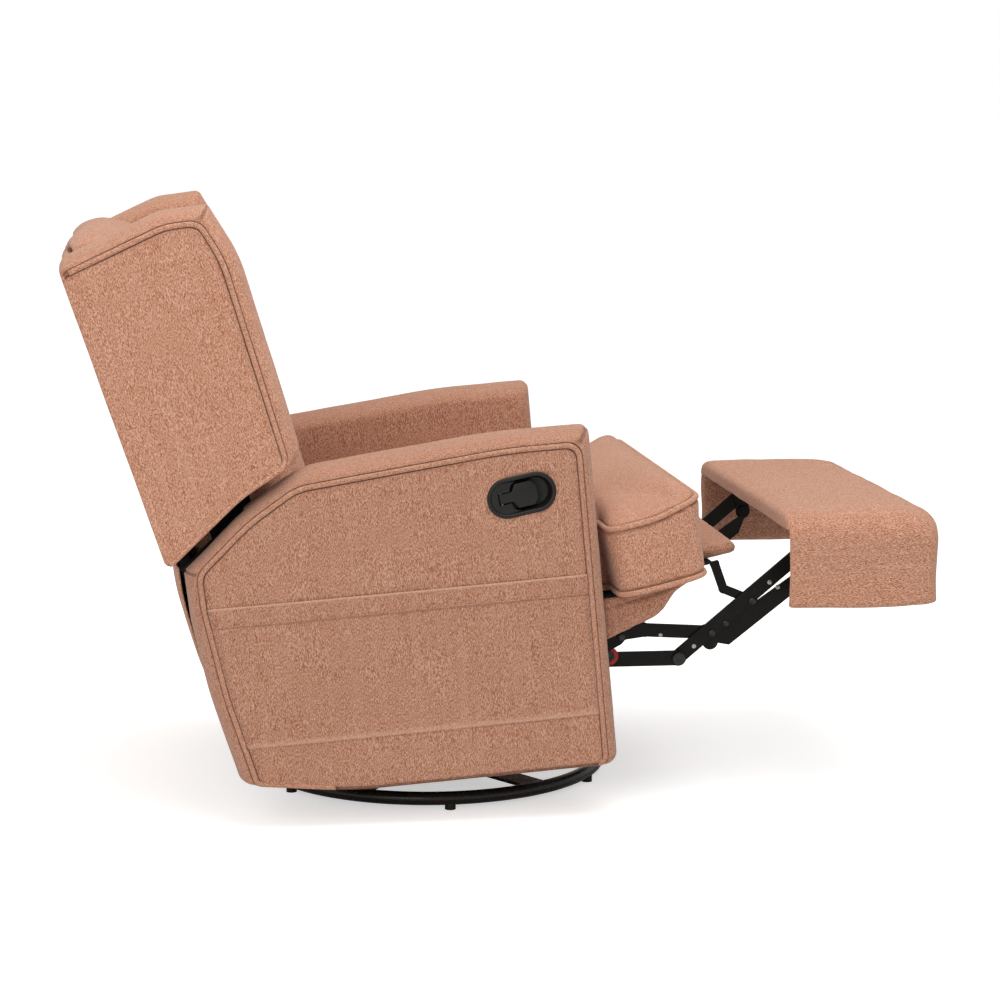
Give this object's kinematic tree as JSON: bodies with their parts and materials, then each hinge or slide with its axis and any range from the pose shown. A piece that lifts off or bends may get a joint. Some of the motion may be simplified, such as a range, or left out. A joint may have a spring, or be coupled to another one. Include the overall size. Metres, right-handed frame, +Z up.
{
  "type": "swivel glider recliner",
  "caption": "Wing-back upholstered swivel glider recliner, shown reclined with the footrest out: steel ring base, glide carriage, padded arms with side pockets and a recessed pull handle.",
  "frame": {"origin": "on the floor, under the middle of the part's bounding box, footrest out", "axes": "+X forward, towards the footrest; +Y to the sitter's left; +Z up; floor at z = 0"},
  "size_m": [1.3972, 0.7685, 0.9737],
  "materials": {
    "linen": "woven",
    "black_steel": "satin",
    "black_plastic": "fine grain",
    "spring_steel": "bare",
    "pine": "raw",
    "black_cloth": "woven"
  },
  "bodies": {
    "base": {"base_ring": "black_steel", "base_cross_bars": "black_steel", "base_feet": "black_plastic", "bearing_lower_plate": "black_steel", "bearing_balls": "spring_steel", "swivel_pin": "black_steel"},
    "swivel_top": {"bearing_upper_plate": "black_steel", "glide_bracket_left": "black_steel", "glide_bracket_right": "black_steel"},
    "swing_links_front": {"swing_link_front_left": "black_steel", "swing_link_front_right": "black_steel"},
    "swing_links_rear": {"swing_link_rear_left": "black_steel", "swing_link_rear_right": "black_steel"},
    "seat_body": {"glide_rail_left": "black_steel", "glide_rail_right": "black_steel", "frame_rail_front": "pine", "frame_rail_rear": "pine", "mechanism_plate_left": "black_steel", "mechanism_plate_right": "black_steel", "seat_rail_front": "pine", "seat_rail_rear": "pine", "seat_springs": "spring_steel", "seat_deck": "black_cloth", "seat_cushion": "linen", "front_border": "linen", "arm_left": "linen", "arm_right": "linen", "arm_frame_left": "pine", "arm_frame_right": "pine", "side_pocket_left": "linen", "side_pocket_right": "linen", "rear_flap": "linen", "handle_bezel": "black_plastic", "paddle_pin": "spring_steel", "recline_pins": "spring_steel"},
    "paddle": {"release_paddle": "black_plastic"},
    "back": {"back_frame": "pine", "back_panel": "linen", "wing_left": "linen", "wing_right": "linen", "back_cushion": "linen", "back_bracket_left": "black_steel", "back_bracket_right": "black_steel"},
    "lower_links": {"torque_tube": "black_steel", "lower_link_left": "black_steel", "lower_link_right": "black_steel"},
    "upper_links": {"upper_link_left": "black_steel", "upper_link_right": "black_steel"},
    "main_links": {"main_link_left": "black_steel", "main_link_right": "black_steel"},
    "front_links": {"front_link_left": "black_steel", "front_link_right": "black_steel"},
    "footrest": {"footrest_bracket_left": "black_steel", "footrest_bracket_right": "black_steel", "footrest_board": "black_cloth", "footrest_cover": "linen"},
    "filler": {"flipper_pad": "linen", "flipper_bracket_left": "black_steel", "flipper_bracket_right": "black_steel"}
  },
  "joints": [
    {"name": "swivel", "type": "hinge", "parent": "base", "child": "swivel_top", "pos_m": [-0.093, 0, 0.0265], "axis": [0, 0, 1], "continuous": true},
    {"name": "glide", "type": "hinge", "parent": "swivel_top", "child": "swing_links_rear", "pos_m": [-0.20817, 0, 0.14514], "axis": [0, 1, 0], "range_deg": [-20, 20]},
    {"name": "glide_front", "type": "hinge", "parent": "swivel_top", "child": "swing_links_front", "pos_m": [0.01129, 0, 0.16048], "axis": [0, 1, 0], "range_deg": [-20, 20]},
    {"name": "glide_body", "type": "hinge", "parent": "swing_links_rear", "child": "seat_body", "pos_m": [-0.20817, 0, 0.07014], "axis": [0, 1, 0], "range_deg": [-20, 20]},
    {"name": "recline", "type": "hinge", "parent": "seat_body", "child": "back", "pos_m": [-0.2667, 0, 0.3337], "axis": [0, 1, 0], "range_deg": [0, 10]},
    {"name": "paddle_pull", "type": "hinge", "parent": "seat_body", "child": "paddle", "pos_m": [-0.02263, -0.3775, 0.51772], "axis": [-0.2079, 0, 0.9781], "range_deg": [-25, 0], "stiffness_Nm_per_rad": 0.15},
    {"name": "footrest_drive", "type": "hinge", "parent": "seat_body", "child": "lower_links", "pos_m": [0.13919, 0, 0.23477], "axis": [0, 1, 0], "range_deg": [0, 120]},
    {"name": "main_link_pivot", "type": "hinge", "parent": "lower_links", "child": "main_links", "pos_m": [0.28361, 0, 0.23384], "axis": [0, 1, 0], "range_deg": [-120, 0]},
    {"name": "upper_link_pivot", "type": "hinge", "parent": "seat_body", "child": "upper_links", "pos_m": [0.18656, 0, 0.27417], "axis": [0, 1, 0], "range_deg": [0, 120]},
    {"name": "front_link_pivot", "type": "hinge", "parent": "upper_links", "child": "front_links", "pos_m": [0.33811, 0, 0.2572], "axis": [0, 1, 0], "range_deg": [-123.3, 0]},
    {"name": "footrest_tilt", "type": "hinge", "parent": "main_links", "child": "footrest", "pos_m": [0.50717, 0, 0.41989], "axis": [0, 1, 0], "range_deg": [0, 88.1]},
    {"name": "filler_tilt", "type": "hinge", "parent": "main_links", "child": "filler", "pos_m": [0.40657, 0, 0.32464], "axis": [0, 1, 0], "range_deg": [0, 78]}
  ],
  "couplings": [
    {"joint": "glide_front", "follows": "glide", "ratio": 1},
    {"joint": "glide_body", "follows": "glide", "ratio": -1},
    {"joint": "main_link_pivot", "follows": "footrest_drive", "ratio": -1},
    {"joint": "upper_link_pivot", "follows": "footrest_drive", "ratio": 1},
    {"joint": "front_link_pivot", "follows": "footrest_drive", "ratio": -1.027},
    {"joint": "footrest_tilt", "follows": "footrest_drive", "ratio": 0.734},
    {"joint": "filler_tilt", "follows": "footrest_drive", "ratio": 0.65}
  ]
}
